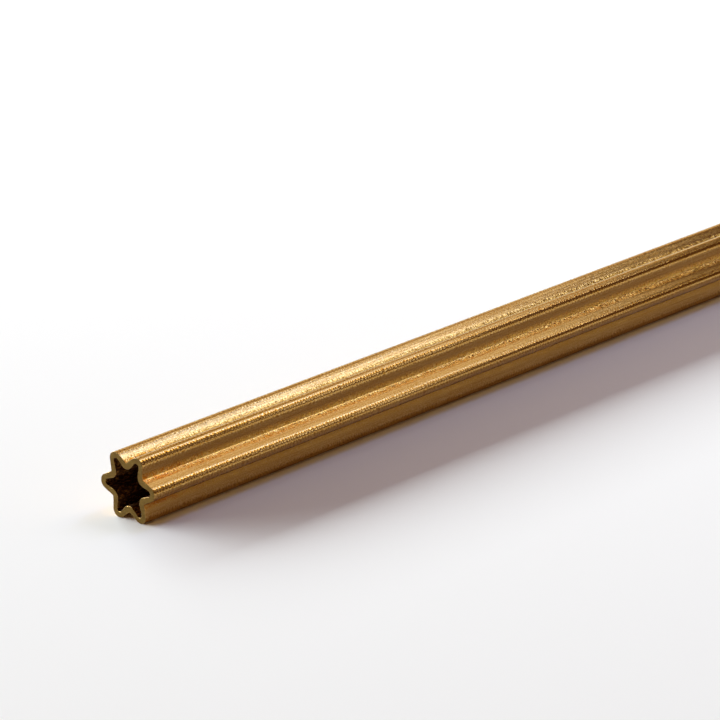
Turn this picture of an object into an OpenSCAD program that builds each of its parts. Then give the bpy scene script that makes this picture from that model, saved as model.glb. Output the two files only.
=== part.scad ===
// Star-shaped brass tube, as sold in cut lengths: a drawn tube with round lobes and narrow
// grooves, a star-shaped bore with blunter tips, and square saw-cut ends.
// It lies along X on two neighbouring lobes, as it comes to rest on a bench. The origin is on
// the bench, under the middle of the tube.

/* [Tube] */
// Length of the piece, from one cut end to the other
tube_length = 300; // [50:10:1000]
// Width over two opposite lobes
lobe_width = 12; // [11:0.5:16]
// Width between the bottoms of two opposite grooves, on the outside
groove_width = 8; // [7:0.25:8.5]
// Thickness of the wall at the tips of the lobes and at the bottoms of the grooves
wall_thickness = 1; // [0.3:0.05:1.5]

/* [Lobes] */
// Number of lobes round the tube
lobe_count = 6; // [4:2:6]
// Radius of the round tip of each lobe, on the outside
lobe_tip_radius = 1.25; // [0.75:0.05:1.5]
// Radius of the rounded bottom of each groove, on the outside
groove_radius = 0.3; // [0.1:0.05:0.75]

/* [Bore] */
// Radius of the round tip of each lobe of the bore
bore_tip_radius = 0.55; // [0.2:0.05:0.7]
// Radius of the round ridge that each groove makes in the bore
bore_ridge_radius = 1.3; // [0.8:0.05:1.6]

/* [Hidden] */
// Fineness of the round tips and grooves
$fn = 48;
// Depth by which a flank runs into the arcs at its two ends, so that they cross and don't just touch
run_in = 0.0002;
// Angle from one lobe to the next
lobe_pitch = 360 / lobe_count;
// Width over two opposite lobes of the bore, and between the crests of two opposite ridges
bore_lobe_width = lobe_width - 2 * wall_thickness;
bore_ridge_width = groove_width - 2 * wall_thickness;
// Height of the centre line over the bench, with the tube on two neighbouring lobes
axis_height = (lobe_width / 2 - lobe_tip_radius) * cos(lobe_pitch / 2) + lobe_tip_radius;

// Unit vector at an angle from X
function heading(angle) = [cos(angle), sin(angle)];

// A point turned about the centre line
function turned(point, angle) = [
    point.x * cos(angle) - point.y * sin(angle),
    point.x * sin(angle) + point.y * cos(angle)
];

// Direction that a straight flank faces, square to the line that touches a tip arc and a groove
// arc, where step leads from the one arc's centre to the other's
function flank_facing(step, tip_radius, groove_radius) =
    atan2(step.y, step.x) - acos((tip_radius + groove_radius - 2 * run_in) / norm(step));

// Star outline with its first lobe along X. Its round tips reach tip_width across, its round
// grooves leave groove_width across, and straight flanks join them.
module star_outline(tip_width, groove_width, tip_radius, groove_radius) {
    tip_centre = [tip_width / 2 - tip_radius, 0];
    groove_centre = (groove_width / 2 + groove_radius) * heading(lobe_pitch / 2);
    facing = heading(flank_facing(groove_centre - tip_centre, tip_radius, groove_radius));
    at_tip = tip_centre + (tip_radius - run_in) * facing;
    at_groove = groove_centre - (groove_radius - run_in) * facing;
    lobe = [[at_groove.x, -at_groove.y], [at_tip.x, -at_tip.y], at_tip, at_groove];
    difference() {
        union() {
            polygon([for (k = [0 : lobe_count - 1], point = lobe) turned(point, k * lobe_pitch)]);
            for (k = [0 : lobe_count - 1])
                translate(turned(tip_centre, k * lobe_pitch))
                    circle(r = tip_radius);
        }
        for (k = [0 : lobe_count - 1])
            translate(turned(groove_centre, k * lobe_pitch))
                circle(r = groove_radius);
    }
}

// The tube: the star outline less the bore's outline, drawn out along X, with a groove facing
// down so that the two lobes beside it carry the tube
module star_tube() {
    color("#b5904c")
        translate([-tube_length / 2, 0, axis_height])
            rotate([90, 0, 90])
                linear_extrude(height = tube_length)
                    rotate(-90 - lobe_pitch / 2)
                        difference() {
                            star_outline(lobe_width, groove_width, lobe_tip_radius, groove_radius);
                            star_outline(bore_lobe_width, bore_ridge_width, bore_tip_radius,
                                         bore_ridge_radius);
                        }
}

star_tube();
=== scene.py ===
"""A star-shaped brass tube, sawn to length, lying on a pale studio floor. Metres throughout.

The tube runs along X and lies on two neighbouring lobes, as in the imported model. Its section is
the wall between two star outlines, the drawn outside and the bore. Half a lobe of each outline is
turned round the centres of its arcs, the two are joined by a strip of faces, and the strip is
mirrored, repeated round the tube and drawn out along it.
"""

import logging
import math
from dataclasses import dataclass
from enum import Enum

import bmesh
import bpy
from mathutils import Matrix, Vector, noise


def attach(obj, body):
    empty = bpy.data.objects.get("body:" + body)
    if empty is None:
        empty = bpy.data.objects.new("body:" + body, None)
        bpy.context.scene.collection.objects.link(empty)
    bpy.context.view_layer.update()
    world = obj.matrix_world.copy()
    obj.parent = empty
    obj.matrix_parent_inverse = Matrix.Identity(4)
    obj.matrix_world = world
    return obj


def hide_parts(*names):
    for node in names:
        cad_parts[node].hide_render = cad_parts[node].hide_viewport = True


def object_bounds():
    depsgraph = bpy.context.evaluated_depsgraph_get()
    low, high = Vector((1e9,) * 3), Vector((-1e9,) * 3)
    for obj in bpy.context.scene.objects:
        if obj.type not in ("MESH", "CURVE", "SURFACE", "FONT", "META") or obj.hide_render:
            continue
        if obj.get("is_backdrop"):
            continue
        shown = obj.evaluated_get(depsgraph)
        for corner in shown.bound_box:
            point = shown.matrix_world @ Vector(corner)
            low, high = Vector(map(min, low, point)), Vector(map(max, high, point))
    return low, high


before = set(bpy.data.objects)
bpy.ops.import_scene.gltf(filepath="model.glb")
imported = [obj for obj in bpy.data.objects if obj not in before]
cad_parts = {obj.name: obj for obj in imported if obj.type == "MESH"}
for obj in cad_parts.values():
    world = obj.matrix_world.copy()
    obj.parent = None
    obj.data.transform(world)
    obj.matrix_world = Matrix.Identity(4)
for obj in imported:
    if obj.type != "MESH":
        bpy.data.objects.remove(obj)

MM = 0.001
MICRON = 0.000001
NODE = "star_tube"
ALONG = Vector((1.0, 0.0, 0.0))
# Distance over which Blender's wave texture repeats at a scale of 1
WAVE_PERIOD = math.pi / 10.0

log = logging.getLogger("star_tube")


class Skin(Enum):
    """The surfaces of the tube, each with a finish of its own. The value is the material slot."""

    DRAWN = 0
    BORE = 1
    SAWN = 2
    EDGE = 3


class End(Enum):
    """The two sawn ends. The value is the way that the end faces along X."""

    NEAR = -1
    FAR = 1


def facing(angle: float) -> Vector:
    """Make the direction across the tube at an angle from +Y towards +Z."""
    return Vector((0.0, math.cos(angle), math.sin(angle)))


def angle_of(way: Vector) -> float:
    """Measure the angle of a direction across the tube, from +Y towards +Z."""
    return math.atan2(way.z, way.y)


@dataclass(frozen=True)
class StarOutline:
    """One outline of the section, seen along X.

    Half a lobe is four arcs that run into each other: the round tip, a flank that is a little
    crowned, a hollow that eases the flank into the groove, and the round bottom of the groove.
    """

    tip_width: float
    groove_width: float
    tip_radius: float
    crown_radius: float
    crown_turn: float
    ease_radius: float
    groove_radius: float
    lobe_pitch: float

    @property
    def tip_centre(self) -> Vector:
        """Centre of the round tip of the first lobe, which points along +Y."""
        return facing(0.0) * (self.tip_width / 2.0 - self.tip_radius)

    @property
    def groove_centre(self) -> Vector:
        """Centre of the rounded bottom of the groove beside the first lobe."""
        return facing(self.lobe_pitch / 2.0) * (self.groove_width / 2.0 + self.groove_radius)

    @property
    def crown_step(self) -> Vector:
        """Step from the tip's centre to the hollow's, if the flank's steepest line faced along +Y."""
        whole_crown = facing(0.0) * (self.crown_radius + self.ease_radius)
        return whole_crown - facing(-self.crown_turn) * (self.crown_radius - self.tip_radius)

    @property
    def ease_turn(self) -> float:
        """Angle through which the hollow turns, from the flank's steepest line to the groove."""
        step = self.crown_step
        rest = self.ease_radius - self.groove_radius
        apart = (self.groove_centre - self.tip_centre).length
        known = (step.length_squared + rest * rest - apart * apart) / (2.0 * step.length * rest)
        return math.acos(known) - angle_of(step)

    @property
    def flank_facing(self) -> float:
        """Angle that the flank's steepest line faces."""
        rest = self.ease_radius - self.groove_radius
        drawn = self.crown_step - facing(-self.ease_turn) * rest
        return angle_of(self.groove_centre - self.tip_centre) - angle_of(drawn)

    def half_lobe(self, mesh: bmesh.types.BMesh, steps: tuple[int, ...]) -> list[bmesh.types.BMVert]:
        """Draw half a lobe as an open chain, by turning one point round the centres of its arcs.

        Args:
            mesh: The mesh that takes the chain.
            steps: Number of edges of each arc, from the tip to the groove.

        Returns:
            The corners of the chain.
        """
        known = set(mesh.verts)
        tip_turn = self.flank_facing - self.crown_turn
        crown_centre = self.tip_centre - facing(tip_turn) * (self.crown_radius - self.tip_radius)
        ease_centre = crown_centre + facing(self.flank_facing) * (self.crown_radius + self.ease_radius)
        groove_turn = self.lobe_pitch / 2.0 - self.flank_facing + self.ease_turn
        arcs = ((self.tip_centre, tip_turn), (crown_centre, self.crown_turn),
                (ease_centre, -self.ease_turn), (self.groove_centre, groove_turn))
        point = [mesh.verts.new(self.tip_centre + facing(0.0) * self.tip_radius)]
        for (centre, turn), count in zip(arcs, steps):
            swept = bmesh.ops.spin(mesh, geom=point, cent=centre, axis=ALONG, angle=turn, steps=count)
            point = [part for part in swept["geom_last"] if isinstance(part, bmesh.types.BMVert)]
        return [corner for corner in mesh.verts if corner not in known]


@dataclass
class StarSection:
    """The tube's section: the wall between the drawn outline and the bore's own outline."""

    lobe_width: float
    height: float
    groove_width: float = 8.1 * MM
    wall: float = 1.0 * MM
    lobe_tip_radius: float = 1.25 * MM
    groove_radius: float = 0.15 * MM
    bore_ridge_width: float = 6.0 * MM
    bore_tip_radius: float = 0.55 * MM
    bore_ridge_radius: float = 1.3 * MM
    flank_crown: float = 25.0 * MM
    flank_turn: float = math.radians(2.5)
    flank_ease: float = 6.0 * MM
    bore_flank_crown: float = 11.0 * MM
    bore_flank_turn: float = math.radians(4.0)
    bore_flank_ease: float = 5.0 * MM
    lobe_count: int = 6
    steps: tuple[int, int, int, int] = (14, 6, 9, 6)

    @property
    def axis_height(self) -> float:
        """Height of the tube's centre line over the floor."""
        return self.height / 2.0

    @property
    def lobe_pitch(self) -> float:
        """Angle from one lobe to the next."""
        return math.tau / self.lobe_count

    @property
    def outside(self) -> StarOutline:
        """The outline that the drawing die gave."""
        return StarOutline(self.lobe_width, self.groove_width, self.lobe_tip_radius, self.flank_crown,
                           self.flank_turn, self.flank_ease, self.groove_radius, self.lobe_pitch)

    @property
    def bore(self) -> StarOutline:
        """The outline of the bore, with blunter tips than an even wall would give."""
        return StarOutline(self.lobe_width - 2.0 * self.wall, self.bore_ridge_width, self.bore_tip_radius,
                           self.bore_flank_crown, self.bore_flank_turn, self.bore_flank_ease,
                           self.bore_ridge_radius, self.lobe_pitch)

    def wall_ring(self, mesh: bmesh.types.BMesh) -> bmesh.types.BMLayerItem:
        """Fill the wall with one closed ring of faces, one face thick, round the tube's axis.

        Args:
            mesh: The empty mesh that takes the ring.

        Returns:
            The vertex layer that is 1 on the outside of the wall and 0 in the bore.
        """
        drawn = mesh.verts.layers.float.new("outside")
        for corner in self.outside.half_lobe(mesh, self.steps):
            corner[drawn] = 1.0
        self.bore.half_lobe(mesh, self.steps)
        bmesh.ops.bridge_loops(mesh, edges=mesh.edges)

        bmesh.ops.mirror(mesh, geom=whole(mesh), matrix=Matrix.Identity(4), merge_dist=MICRON, axis="Z")
        bmesh.ops.spin(mesh, geom=whole(mesh), cent=Vector(), axis=ALONG, use_duplicate=True,
                       angle=math.tau - self.lobe_pitch, steps=self.lobe_count - 1)
        bmesh.ops.remove_doubles(mesh, verts=mesh.verts, dist=MICRON)
        return drawn


@dataclass
class SawnEnd:
    """One sawn end: both edges of the wall a little broken, and a ragged burr hanging into the bore."""

    end: End
    outer_round: float = 0.05 * MM
    inner_round: float = 0.04 * MM
    burr_reach: float = 0.03 * MM
    burr_reach_where_saw_left: float = 0.24 * MM
    burr_depth: float = 0.25 * MM
    tooth_spacing: float = 0.3 * MM
    saw_left_towards: float = math.radians(240.0)
    saw_left_spread: float = math.radians(48.0)
    tooth_mean: float = 0.35
    tooth_swing: float = 0.65
    pattern_shift: float = 7.0

    def break_edges(self, mesh: bmesh.types.BMesh, plane: float) -> None:
        """Round the two edges of the sawn face, the one to the outside and the one to the bore.

        Args:
            mesh: The closed tube.
            plane: X of the sawn face.
        """
        for skin, offset in ((Skin.DRAWN, self.outer_round), (Skin.BORE, self.inner_round)):
            rim = [edge for edge in mesh.edges
                   if all(abs(corner.co.x - plane) < MICRON for corner in edge.verts)
                   and {face.material_index for face in edge.link_faces} == {skin.value, Skin.SAWN.value}]
            rounded = bmesh.ops.bevel(mesh, geom=rim, offset=offset, offset_type="OFFSET", affect="EDGES",
                                      segments=2, profile=0.5, material=-1, clamp_overlap=True)
            for face in rounded["faces"]:
                face.material_index = Skin.EDGE.value

    def raise_burr(self, mesh: bmesh.types.BMesh, plane: float, axis_height: float) -> None:
        """Push the bore's edge into the opening by ragged teeth, most where the saw came out.

        Args:
            mesh: The closed tube, with its normals up to date.
            plane: X of the sawn face.
            axis_height: Height of the tube's centre line.
        """
        moves = []
        for corner in mesh.verts:
            depth = abs(corner.co.x - plane)
            in_bore = any(face.material_index == Skin.BORE.value for face in corner.link_faces)
            if depth > self.burr_depth or not in_bore:
                continue
            into_bore = Vector((0.0, corner.normal.y, corner.normal.z)).normalized()
            turn = math.atan2(corner.co.z - axis_height, corner.co.y)
            off_exit = math.remainder(turn - self.saw_left_towards, math.tau) / self.saw_left_spread
            share = math.exp(-off_exit * off_exit)
            reach = self.burr_reach + (self.burr_reach_where_saw_left - self.burr_reach) * share
            pattern_start = self.end.value * self.pattern_shift
            spot = Vector((pattern_start, corner.co.y, corner.co.z)) / self.tooth_spacing
            tooth = self.tooth_mean + self.tooth_swing * noise.noise(spot)
            fade = 1.0 - depth / self.burr_depth
            moves.append((corner, into_bore * max(tooth, 0.0) * reach * fade))
        for corner, move in moves:
            corner.co += move


@dataclass
class StarTube:
    """The tube: the star section drawn out along X, with a sawn end at each side."""

    section: StarSection
    length: float
    end_rings: tuple[float, ...] = (0.08 * MM, 0.06 * MM, 0.06 * MM, 0.1 * MM, 0.4 * MM, 1.3 * MM,
                                    3.0 * MM)
    middle_rings: int = 24
    name: str = "drawn_star_tube"

    def build(self) -> bpy.types.Object:
        """Model the tube as one closed mesh.

        Returns:
            The finished object, at the origin, with its place in its mesh.
        """
        mesh = bmesh.new()
        drawn = self.section.wall_ring(mesh)
        near_plane = -self.length / 2.0
        place = Vector((near_plane, 0.0, self.section.axis_height))
        bmesh.ops.translate(mesh, vec=place, verts=mesh.verts)
        self._draw_out(mesh)
        self._sort_skins(mesh, drawn)
        mesh.verts.layers.float.remove(drawn)
        bmesh.ops.recalc_face_normals(mesh, faces=mesh.faces)
        for end in End:
            sawn = SawnEnd(end)
            plane = end.value * self.length / 2.0
            sawn.break_edges(mesh, plane)
            mesh.normal_update()
            sawn.raise_burr(mesh, plane, self.section.axis_height)
        self._smooth(mesh)
        return finished(mesh, self.name)

    def _draw_out(self, mesh: bmesh.types.BMesh) -> None:
        """Draw the ring of faces out to the far end, in short steps near both ends.

        Args:
            mesh: The mesh with the ring of faces at the near end.
        """
        near = list(self.end_rings)
        middle = (self.length - 2.0 * sum(near)) / self.middle_rings
        front = list(mesh.faces)
        for step in near + [middle] * self.middle_rings + near[::-1]:
            drawn = bmesh.ops.extrude_face_region(mesh, geom=front)
            front = [part for part in drawn["geom"] if isinstance(part, bmesh.types.BMFace)]
            corners = [part for part in drawn["geom"] if isinstance(part, bmesh.types.BMVert)]
            bmesh.ops.translate(mesh, vec=ALONG * step, verts=corners)

    def _sort_skins(self, mesh: bmesh.types.BMesh, drawn: bmesh.types.BMLayerItem) -> None:
        """Give each face the slot of the surface that it belongs to.

        Args:
            mesh: The closed tube.
            drawn: The vertex layer that is 1 on the outside of the wall and 0 in the bore.
        """
        skins = {1.0: Skin.DRAWN, 0.0: Skin.BORE}
        for face in mesh.faces:
            share = sum(corner[drawn] for corner in face.verts) / len(face.verts)
            face.material_index = skins.get(share, Skin.SAWN).value

    def _smooth(self, mesh: bmesh.types.BMesh) -> None:
        """Shade the tube smooth, with a hard edge where the sawn faces begin.

        Args:
            mesh: The closed tube, with its faces sorted into skins.
        """
        for face in mesh.faces:
            face.smooth = True
        for edge in mesh.edges:
            skins = {face.material_index for face in edge.link_faces}
            edge.smooth = Skin.SAWN.value not in skins or len(skins) == 1

    def dress(self, tube: bpy.types.Object) -> None:
        """Give each surface of the tube its finish, in the order of the skins.

        Args:
            tube: The finished tube.
        """
        finishes = {
            Skin.DRAWN: DrawnBrass(axis_height=self.section.axis_height),
            Skin.BORE: BoreBrass(),
            Skin.SAWN: SawnBrass(),
            Skin.EDGE: BrokenEdgeBrass(),
        }
        for skin in Skin:
            tube.data.materials.append(finishes[skin].material())


def whole(mesh: bmesh.types.BMesh) -> list:
    """List every vertex, edge and face of a mesh."""
    return list(mesh.verts) + list(mesh.edges) + list(mesh.faces)


def finished(mesh: bmesh.types.BMesh, name: str) -> bpy.types.Object:
    """Turn a mesh under construction into an object of the scene.

    Args:
        mesh: The mesh to hand over. It is freed.
        name: What to call the object.

    Returns:
        The new object, linked into the scene.
    """
    data = bpy.data.meshes.new(name)
    mesh.to_mesh(data)
    mesh.free()
    piece = bpy.data.objects.new(name, data)
    bpy.context.scene.collection.objects.link(piece)
    return piece


class NodeBench:
    """Lays out and links the nodes of one material or world."""

    def __init__(self, owner: bpy.types.ID) -> None:
        """Take over the node tree of a material or world and clear it.

        Args:
            owner: The material or world.
        """
        owner.use_nodes = True
        self.tree = owner.node_tree
        self.tree.nodes.clear()

    def add(self, kind: str, sockets: dict | None = None, **settings: object) -> bpy.types.Node:
        """Add a node.

        Args:
            kind: The node's type, without the leading ShaderNode.
            sockets: Values or source sockets for its inputs, by name or number.
            settings: The node's own settings.

        Returns:
            The node.
        """
        node = self.tree.nodes.new("ShaderNode" + kind)
        for name, value in settings.items():
            setattr(node, name, value)
        for key, value in (sockets or {}).items():
            if isinstance(value, bpy.types.NodeSocket):
                self.tree.links.new(value, node.inputs[key])
            else:
                node.inputs[key].default_value = value
        return node

    def place(self, scale: tuple[float, float, float],
              shift: tuple[float, float, float] = (0.0, 0.0, 0.0),
              turn: tuple[float, float, float] = (0.0, 0.0, 0.0)) -> bpy.types.NodeSocket:
        """Read the object's own coordinates, moved, turned and scaled.

        Args:
            scale: How often the pattern repeats in a metre, along each axis.
            shift: How far the pattern is moved after scaling.
            turn: How far the pattern is turned round each axis.

        Returns:
            The coordinates.
        """
        where = self.add("TexCoord")
        mapping = self.add("Mapping", {"Vector": where.outputs["Object"], "Scale": scale,
                                       "Location": shift, "Rotation": turn})
        return mapping.outputs["Vector"]

    def grain(self, scale: tuple[float, float, float], detail: float = 2.0, roughness: float = 0.5,
              shift: tuple[float, float, float] = (0.0, 0.0, 0.0)) -> bpy.types.NodeSocket:
        """Make a noise pattern whose grains are as long along each axis as the scale says.

        Args:
            scale: Grains in a metre, along each axis.
            detail: How many finer layers there are.
            roughness: How strong the finer layers are.
            shift: Moves the pattern, so that two of them differ.

        Returns:
            The pattern, from 0 to 1.
        """
        pattern = self.add("TexNoise", {"Vector": self.place(scale, shift), "Scale": 1.0,
                                        "Detail": detail, "Roughness": roughness})
        return pattern.outputs["Fac"]

    def span(self, value: bpy.types.NodeSocket, low: float, high: float, start: float,
             stop: float) -> bpy.types.NodeSocket:
        """Map a value from one range to another, held at both ends.

        Args:
            value: The value to map.
            low: The value that gives the start.
            high: The value that gives the stop.
            start: The result at low and below.
            stop: The result at high and above.

        Returns:
            The mapped value.
        """
        mapped = self.add("MapRange", {"Value": value, "From Min": low, "From Max": high,
                                       "To Min": start, "To Max": stop})
        return mapped.outputs["Result"]

    def share(self, value: bpy.types.NodeSocket, zone: tuple[float, float]) -> bpy.types.NodeSocket:
        """Turn a value into a share, which goes from 0 to 1 across the zone."""
        return self.span(value, *zone, 0.0, 1.0)

    def sum(self, first: bpy.types.NodeSocket, second: bpy.types.NodeSocket) -> bpy.types.NodeSocket:
        """Add two values."""
        return self.add("Math", {0: first, 1: second}, operation="ADD").outputs[0]

    def product(self, first: bpy.types.NodeSocket, second: bpy.types.NodeSocket) -> bpy.types.NodeSocket:
        """Multiply two values."""
        return self.add("Math", {0: first, 1: second}, operation="MULTIPLY").outputs[0]

    def blend(self, share: bpy.types.NodeSocket, first: tuple | bpy.types.NodeSocket,
              second: tuple | bpy.types.NodeSocket) -> bpy.types.NodeSocket:
        """Blend two colours.

        Args:
            share: Share of the second colour, from 0 to 1.
            first: The colour at a share of 0.
            second: The colour at a share of 1.

        Returns:
            The blended colour.
        """
        mixed = self.add("Mix", {0: share, 6: first, 7: second}, data_type="RGBA")
        return mixed.outputs[2]

    def relief(self, height: bpy.types.NodeSocket, depth: float) -> bpy.types.NodeSocket:
        """Raise the surface by a height pattern.

        Args:
            height: The pattern, from 0 to 1.
            depth: Real height of the relief where the pattern is 1.

        Returns:
            The new normal.
        """
        raised = self.add("Bump", {"Height": height, "Distance": depth, "Strength": 1.0})
        return raised.outputs["Normal"]

    def facets(self, scale: tuple[float, float, float], detail: float = 1.0) -> bpy.types.NodeSocket:
        """Make a pattern of small facets that each lean their own way.

        Args:
            scale: Facets in a metre, along each axis.
            detail: How many finer layers there are.

        Returns:
            The lean of each facet, as a vector that is zero on average.
        """
        pattern = self.add("TexNoise", {"Vector": self.place(scale), "Scale": 1.0, "Detail": detail})
        return self.add("VectorMath", {0: pattern.outputs["Color"], 1: (0.5, 0.5, 0.5)},
                        operation="SUBTRACT").outputs[0]

    def comb(self, pitch: float, wander: float, waver: float) -> bpy.types.NodeSocket:
        """Make a comb of bars that stand one behind the other along the tube.

        Args:
            pitch: Distance from one bar to the next.
            wander: How far the bars stray from even steps, as an angle of their wave.
            waver: How much faster they stray across the tube than along it.

        Returns:
            The pattern, from -1 to 1.
        """
        beats = WAVE_PERIOD / pitch
        where = self.place((beats, waver * beats, waver * beats))
        wave = self.add("TexWave", {"Vector": where, "Scale": 1.0, "Distortion": wander, "Detail": 1.0,
                                    "Detail Scale": 1.0}, wave_type="BANDS", bands_direction="X")
        return self.span(wave.outputs["Fac"], 0.0, 1.0, -1.0, 1.0)

    def lean(self, normal: bpy.types.NodeSocket, facets: bpy.types.NodeSocket,
             amount: float | bpy.types.NodeSocket) -> bpy.types.NodeSocket:
        """Lean the surface by a pattern of facets.

        Args:
            normal: The normal before.
            facets: Which way each facet leans.
            amount: How far they lean.

        Returns:
            The new normal.
        """
        part = self.add("VectorMath", {0: facets, "Scale": amount}, operation="SCALE").outputs[0]
        leant = self.add("VectorMath", {0: normal, 1: part}, operation="ADD").outputs[0]
        return self.add("VectorMath", {0: leant}, operation="NORMALIZE").outputs[0]

    def metal(self, colour: tuple | bpy.types.NodeSocket, roughness: float | bpy.types.NodeSocket,
              normal: bpy.types.NodeSocket, bareness: float = 1.0) -> None:
        """End the tree in a metal surface.

        Args:
            colour: Its colour.
            roughness: Its roughness.
            normal: The way that it faces.
            bareness: 1 where the metal is bare, and 0 where it is under dull oxide.
        """
        surface = self.add("BsdfPrincipled", {"Base Color": colour, "Metallic": bareness,
                                              "Roughness": roughness, "Normal": normal})
        self.add("OutputMaterial", {"Surface": surface.outputs["BSDF"]})


@dataclass(frozen=True)
class DrawnBrass:
    """Brass as it leaves the drawing die: satin, with lines along it and chatter across the lobes.

    Pitches and lines are marks in a metre, apart from the chatter's pitch, and a lean is the most
    by which a mark leans the surface. Zones are distances from the tube's centre line.
    """

    axis_height: float
    burnished: tuple[float, float, float, float] = (0.60, 0.36, 0.105, 1.0)
    burnished_roughness: float = 0.13
    brown: tuple[float, float, float, float] = (0.37, 0.155, 0.012, 1.0)
    brown_roughness: float = 0.21
    tone_lines: tuple[float, float, float] = (70.0, 3600.0, 3600.0)
    tone_detail: float = 3.0
    tone_detail_strength: float = 0.6
    tone_shift: tuple[float, float, float] = (11.0, 2.0, 5.0)
    tone_range: tuple[float, float] = (0.2, 0.8)
    line_pitch: float = 5200.0
    line_length: float = 25.0
    line_lean: float = 0.07
    tick_pitch: float = 8500.0
    tick_length: float = 2200.0
    tick_lean: float = 0.085
    groove_zone: tuple[float, float] = (4.25 * MM, 4.75 * MM)
    groove_lean: float = 0.7
    groove_brass: tuple[float, float, float, float] = (0.62, 0.33, 0.045, 1.0)
    groove_share: float = 0.7
    chatter_zone: tuple[float, float] = (5.2 * MM, 5.45 * MM)
    chatter_pitch: float = 0.62 * MM
    chatter_wander: float = 10.0
    chatter_waver: float = 1.8
    chatter_lean: float = 0.08
    chatter_tone: float = 0.4
    scuffed: tuple[float, float, float, float] = (0.80, 0.56, 0.24, 1.0)
    scuff_pitch: float = 6500.0
    scuff_shift: tuple[float, float, float] = (3.0, 7.0, 1.0)
    scuff_range: tuple[float, float] = (0.50, 1.10)
    stain: tuple[float, float, float, float] = (0.52, 0.17, 0.004, 1.0)
    stain_patches: tuple[float, float, float] = (500.0, 1100.0, 1100.0)
    stain_range: tuple[float, float] = (0.42, 0.58)
    stain_reach: tuple[float, float] = (0.136, 0.147)

    def material(self) -> bpy.types.Material:
        """Make the finish.

        Returns:
            The material.
        """
        skin = bpy.data.materials.new("drawn_brass")
        bench = NodeBench(skin)
        reach = self._reach(bench)
        in_groove = bench.span(reach, *self.groove_zone, 1.0, 0.0)
        comb = bench.comb(self.chatter_pitch, self.chatter_wander, self.chatter_waver)
        chatter = bench.product(comb, bench.share(reach, self.chatter_zone))

        normal = self._marked(bench, in_groove, chatter)
        tone = bench.grain(self.tone_lines, self.tone_detail, self.tone_detail_strength, self.tone_shift)
        bars = bench.span(chatter, -1.0, 1.0, -self.chatter_tone, self.chatter_tone)
        polish = bench.sum(bench.share(tone, self.tone_range), bars)
        scuffs = bench.grain((self.scuff_pitch,) * 3, detail=0.0, shift=self.scuff_shift)

        colour = bench.blend(polish, self.brown, self.burnished)
        # Brass more orange towards the bottom of each groove.
        groove_tint = bench.span(in_groove, 0.0, 1.0, 0.0, self.groove_share)
        colour = bench.blend(groove_tint, colour, self.groove_brass)
        colour = bench.blend(bench.product(in_groove, self._stained(bench)), colour, self.stain)
        colour = bench.blend(bench.share(scuffs, self.scuff_range), colour, self.scuffed)
        roughness = bench.span(polish, 0.0, 1.0, self.brown_roughness, self.burnished_roughness)
        bench.metal(colour, roughness, normal)
        return skin

    def _marked(self, bench: NodeBench, in_groove: bpy.types.NodeSocket,
                chatter: bpy.types.NodeSocket) -> bpy.types.NodeSocket:
        """Lean the surface by the marks of drawing: short ticks, long lines and the chatter's bars.

        Args:
            bench: Where the nodes go.
            in_groove: 1 in the bottom of a groove and 0 on the lobes.
            chatter: The bars across the lobes, from -1 to 1.

        Returns:
            The normal.
        """
        normal = bench.add("NewGeometry").outputs["Normal"]
        ticks = bench.facets((self.tick_pitch, self.tick_length, self.tick_length))
        tick_lean = bench.span(in_groove, 0.0, 1.0, self.tick_lean, self.groove_lean)
        normal = bench.lean(normal, ticks, tick_lean)
        lines = bench.facets((self.line_length, self.line_pitch, self.line_pitch))
        normal = bench.lean(normal, lines, self.line_lean)
        across = bench.add("VectorMath", {0: normal, 1: tuple(ALONG)}, operation="CROSS_PRODUCT")
        bars = bench.add("VectorMath", {0: across.outputs[0], "Scale": chatter}, operation="SCALE")
        return bench.lean(normal, bars.outputs[0], self.chatter_lean)

    def _stained(self, bench: NodeBench) -> bpy.types.NodeSocket:
        """Make the patches of oil stain near both ends.

        Args:
            bench: Where the nodes go.

        Returns:
            1 in the patches and 0 elsewhere.
        """
        along = bench.add("SeparateXYZ", {"Vector": bench.place((1.0, 1.0, 1.0))}).outputs["X"]
        from_middle = bench.add("Math", {0: along}, operation="ABSOLUTE").outputs[0]
        patches = bench.share(bench.grain(self.stain_patches), self.stain_range)
        return bench.product(patches, bench.share(from_middle, self.stain_reach))

    def _reach(self, bench: NodeBench) -> bpy.types.NodeSocket:
        """Measure the distance from the tube's centre line."""
        from_axis = bench.place((0.0, 1.0, 1.0), (0.0, 0.0, -self.axis_height))
        return bench.add("VectorMath", {0: from_axis}, operation="LENGTH").outputs["Value"]


@dataclass(frozen=True)
class BoreBrass:
    """The bore: stained dark brown by the drawing oil and painted near black for the shade inside it,
    with brighter brass in mottled spots.
    """

    # Near-black stain: partly oil stain, partly painted shade deep inside the bore.
    stain: tuple[float, float, float, float] = (0.065, 0.016, 0.002, 1.0)
    stain_roughness: float = 0.6
    brass: tuple[float, float, float, float] = (0.66, 0.30, 0.06, 1.0)
    brass_roughness: float = 0.4
    brass_range: tuple[float, float] = (0.5, 0.72)
    spots: tuple[float, float, float] = (1500.0, 3000.0, 3000.0)
    spot_detail: float = 3.0
    spot_detail_strength: float = 0.65
    spot_range: tuple[float, float] = (0.35, 0.7)
    spot_depth: float = 0.012 * MM
    bareness: float = 0.55

    def material(self) -> bpy.types.Material:
        """Make the finish.

        Returns:
            The material.
        """
        skin = bpy.data.materials.new("stained_shaded_bore")
        bench = NodeBench(skin)
        spots = bench.grain(self.spots, self.spot_detail, self.spot_detail_strength)
        colour = bench.blend(bench.share(spots, self.brass_range), self.stain, self.brass)
        roughness = bench.span(spots, *self.spot_range, self.stain_roughness, self.brass_roughness)
        bench.metal(colour, roughness, bench.relief(spots, self.spot_depth), self.bareness)
        return skin


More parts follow.
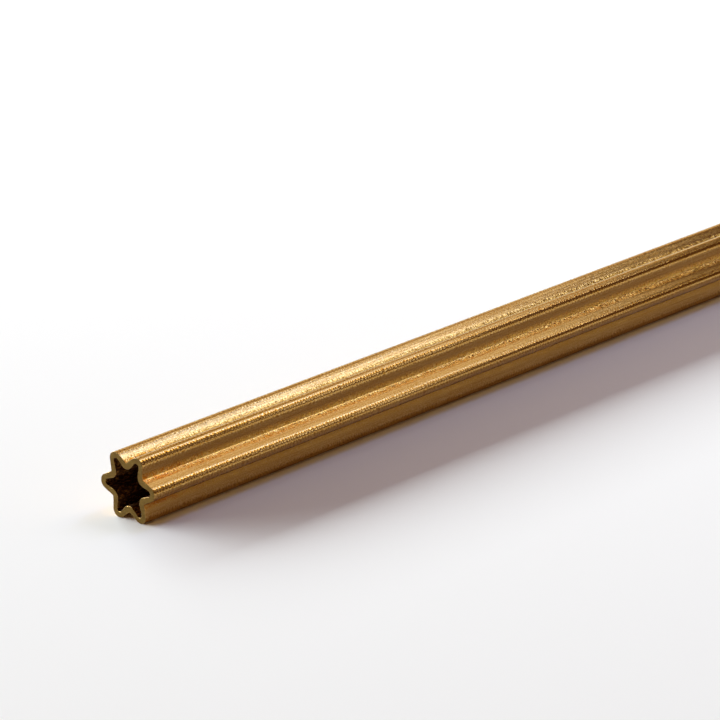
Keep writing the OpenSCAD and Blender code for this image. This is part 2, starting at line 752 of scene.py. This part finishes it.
@dataclass(frozen=True)
class SawnBrass:
    """The sawn faces: dull olive brass with fine saw scratches, and lighter in patches."""

    dull: tuple[float, float, float, float] = (0.105, 0.055, 0.010, 1.0)
    light: tuple[float, float, float, float] = (0.19, 0.113, 0.024, 1.0)
    valley_roughness: float = 0.62
    crest_roughness: float = 0.5
    scratches: tuple[float, float, float] = (1.0, 900.0, 9000.0)
    scratch_detail: float = 2.0
    scratch_turn: float = math.radians(35.0)
    scratch_range: tuple[float, float] = (0.3, 0.7)
    scratch_depth: float = 0.004 * MM
    scratch_share: float = 0.5
    patches: tuple[float, float, float] = (600.0, 900.0, 900.0)
    patch_detail: float = 3.0
    patch_detail_strength: float = 0.6
    patch_range: tuple[float, float] = (0.35, 0.65)

    def material(self) -> bpy.types.Material:
        """Make the finish.

        Returns:
            The material.
        """
        skin = bpy.data.materials.new("sawn_brass")
        bench = NodeBench(skin)
        where = bench.place(self.scratches, turn=(self.scratch_turn, 0.0, 0.0))
        scratched = bench.add("TexNoise", {"Vector": where, "Scale": 1.0, "Detail": self.scratch_detail})
        lines = scratched.outputs["Fac"]
        patches = bench.grain(self.patches, self.patch_detail, self.patch_detail_strength)
        tone = bench.sum(bench.span(lines, *self.scratch_range, 0.0, self.scratch_share),
                         bench.span(patches, *self.patch_range, 0.0, 1.0 - self.scratch_share))
        colour = bench.blend(tone, self.dull, self.light)
        roughness = bench.span(lines, *self.scratch_range, self.valley_roughness, self.crest_roughness)
        bench.metal(colour, roughness, bench.relief(lines, self.scratch_depth))
        return skin


@dataclass(frozen=True)
class BrokenEdgeBrass:
    """The narrow rounds along the sawn edges: bright metal where the edge was broken, on dark brown that
    paints the shade along the edges.
    """

    bright: tuple[float, float, float, float] = (0.42, 0.25, 0.07, 1.0)
    bright_roughness: float = 0.25
    # Dark brown between the bright nicks: painted shade along the sawn edges.
    edge_shade: tuple[float, float, float, float] = (0.10, 0.05, 0.014, 1.0)
    edge_shade_roughness: float = 0.4
    nicks: float = 3500.0
    nick_detail: float = 2.0
    nick_detail_strength: float = 0.6
    nick_range: tuple[float, float] = (0.35, 0.65)
    nick_depth: float = 0.006 * MM

    def material(self) -> bpy.types.Material:
        """Make the finish.

        Returns:
            The material.
        """
        skin = bpy.data.materials.new("broken_edge")
        bench = NodeBench(skin)
        nicks = bench.grain((self.nicks,) * 3, self.nick_detail, self.nick_detail_strength)
        colour = bench.blend(bench.share(nicks, self.nick_range), self.edge_shade, self.bright)
        roughness = bench.span(nicks, *self.nick_range, self.edge_shade_roughness, self.bright_roughness)
        bench.metal(colour, roughness, bench.relief(nicks, self.nick_depth))
        return skin


@dataclass(frozen=True)
class ArchLamp:
    """A soft lamp on an arch over the tube. Its flat face runs beside the tube and looks at it.

    The angle goes from +Y over the tube to -Y, and the spread is what the face takes up of it, both
    in degrees. The face runs from start to stop along X. Its radiance is 1 where it is white.
    """

    name: str
    angle: float
    spread: float
    start: float
    stop: float
    radiance: float
    colour: tuple[float, float, float]
    distance: float = 0.63

    def hang(self) -> bpy.types.Object:
        """Hang the lamp.

        Returns:
            The lamp.
        """
        way = facing(math.radians(self.angle))
        data = bpy.data.lights.new(self.name, "AREA")
        data.shape = "RECTANGLE"
        data.size = self.stop - self.start
        data.size_y = 2.0 * self.distance * math.tan(math.radians(self.spread) / 2.0)
        data.energy = self.radiance * math.pi * data.size * data.size_y
        data.color = self.colour
        lamp = bpy.data.objects.new(self.name, data)
        place = way * self.distance + ALONG * (self.start + self.stop) / 2.0
        towards_tube = Matrix((ALONG, way.cross(ALONG), way)).transposed().to_4x4()
        lamp.matrix_world = Matrix.Translation(place) @ towards_tube
        lamp.visible_camera = False
        bpy.context.scene.collection.objects.link(lamp)
        return lamp


STUDIO_LAMPS = (
    ArchLamp("key_box", angle=101.0, spread=12.0, start=0.10, stop=0.50,
             radiance=4.06, colour=(0.74, 1.0, 2.05)),
    ArchLamp("high_box", angle=117.0, spread=8.0, start=0.10, stop=0.50,
             radiance=2.85, colour=(1.13, 1.0, 0.55)),
    ArchLamp("low_box", angle=80.0, spread=18.0, start=0.10, stop=0.50,
             radiance=1.14, colour=(0.96, 0.99, 1.07)),
    ArchLamp("far_box", angle=83.0, spread=40.0, start=0.50, stop=0.62,
             radiance=1.19, colour=(0.93, 1.0, 1.10)),
    ArchLamp("far_high_box", angle=120.0, spread=14.0, start=0.50, stop=0.62,
             radiance=2.5, colour=(0.97, 1.0, 1.2)),
    ArchLamp("front_strip", angle=145.0, spread=20.0, start=0.40, stop=0.48,
             radiance=1.96, colour=(0.91, 1.0, 1.26)),
    ArchLamp("side_box", angle=20.0, spread=20.0, start=0.10, stop=0.85,
             radiance=1.03, colour=(1.02, 1.14, 0.85)),
    ArchLamp("back_box", angle=45.0, spread=28.0, start=0.10, stop=0.85,
             radiance=0.66, colour=(1.17, 0.97, 0.65)),
    ArchLamp("back_bank", angle=21.0, spread=18.0, start=-4.4, stop=1.6,
             radiance=17.5, colour=(0.87, 1.0, 1.17), distance=2.8),
)


@dataclass
class Studio:
    """The pale floor, the soft lamps, the room beyond them, and the camera."""

    eye: tuple[float, float, float] = (-0.5212, -0.4203, 0.2113)
    heading: float = math.radians(45.173)
    dip: float = math.radians(18.505)
    roll: float = math.radians(-2.913)
    lens: float = 195.31
    sensor: float = 36.0
    near_clip: float = 10.0 * MM
    floor_radius: float = 12.0
    floor_colour: tuple[float, float, float, float] = (0.95, 0.90, 0.79, 1.0)
    room: tuple[float, float, float, float] = (0.12, 0.055, 0.012, 1.0)
    backdrop: tuple[float, float, float, float] = (0.8, 0.8, 0.8, 1.0)
    backdrop_top: float = 0.07
    room_start: float = 0.112
    lamps: tuple[ArchLamp, ...] = STUDIO_LAMPS

    def camera(self) -> bpy.types.Object:
        """Set the camera at the photograph's viewing angle.

        Returns:
            The camera.
        """
        data = bpy.data.cameras.new("camera")
        data.lens = self.lens
        data.sensor_width = self.sensor
        data.clip_start = self.near_clip
        camera = bpy.data.objects.new("camera", data)
        camera.matrix_world = (Matrix.Translation(self.eye)
                               @ Matrix.Rotation(-self.heading, 4, "Z")
                               @ Matrix.Rotation(math.pi / 2.0 - self.dip, 4, "X")
                               @ Matrix.Rotation(self.roll, 4, "Z"))
        bpy.context.scene.collection.objects.link(camera)
        bpy.context.scene.camera = camera
        return camera

    def floor(self) -> bpy.types.Object:
        """Lay the pale floor.

        Returns:
            The floor.
        """
        mesh = bmesh.new()
        bmesh.ops.create_circle(mesh, cap_ends=True, segments=64, radius=self.floor_radius)
        floor = finished(mesh, "pale_floor")
        paint = bpy.data.materials.new("pale_floor")
        bench = NodeBench(paint)
        matt = bench.add("BsdfDiffuse", {"Color": self.floor_colour})
        bench.add("OutputMaterial", {"Surface": matt.outputs["BSDF"]})
        floor.data.materials.append(paint)
        floor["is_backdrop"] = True
        return floor

    def world(self) -> None:
        """Light the room dimly and warmly, with a pale backdrop low down beyond the floor."""
        world = bpy.data.worlds.new("room")
        bpy.context.scene.world = world
        bench = NodeBench(world)
        ray = bench.add("TexCoord").outputs["Generated"]
        height = bench.add("SeparateXYZ", {"Vector": ray}).outputs["Z"]
        above = bench.share(height, (self.backdrop_top, self.room_start))
        glow = bench.add("Background", {"Color": bench.blend(above, self.backdrop, self.room)})
        bench.add("OutputWorld", {"Surface": glow.outputs["Background"]})

    def light(self) -> None:
        """Hang all the lamps."""
        for lamp in self.lamps:
            lamp.hang()


def main() -> None:
    """Build the tube and the studio."""
    logging.basicConfig(level=logging.INFO, format="%(name)s: %(message)s")
    scene = bpy.context.scene
    scene.view_settings.view_transform = "Standard"
    cad_low, cad_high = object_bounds()
    span = cad_high - cad_low

    studio = Studio()
    studio.camera()
    studio.floor()
    studio.light()
    studio.world()

    tube = StarTube(StarSection(lobe_width=span.y, height=span.z), length=span.x)
    piece = tube.build()
    tube.dress(piece)
    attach(piece, "root")
    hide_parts(NODE)
    log.info("%s: %d faces, %.1f mm long", piece.name, len(piece.data.polygons), tube.length / MM)


if __name__ == "__main__":
    main()
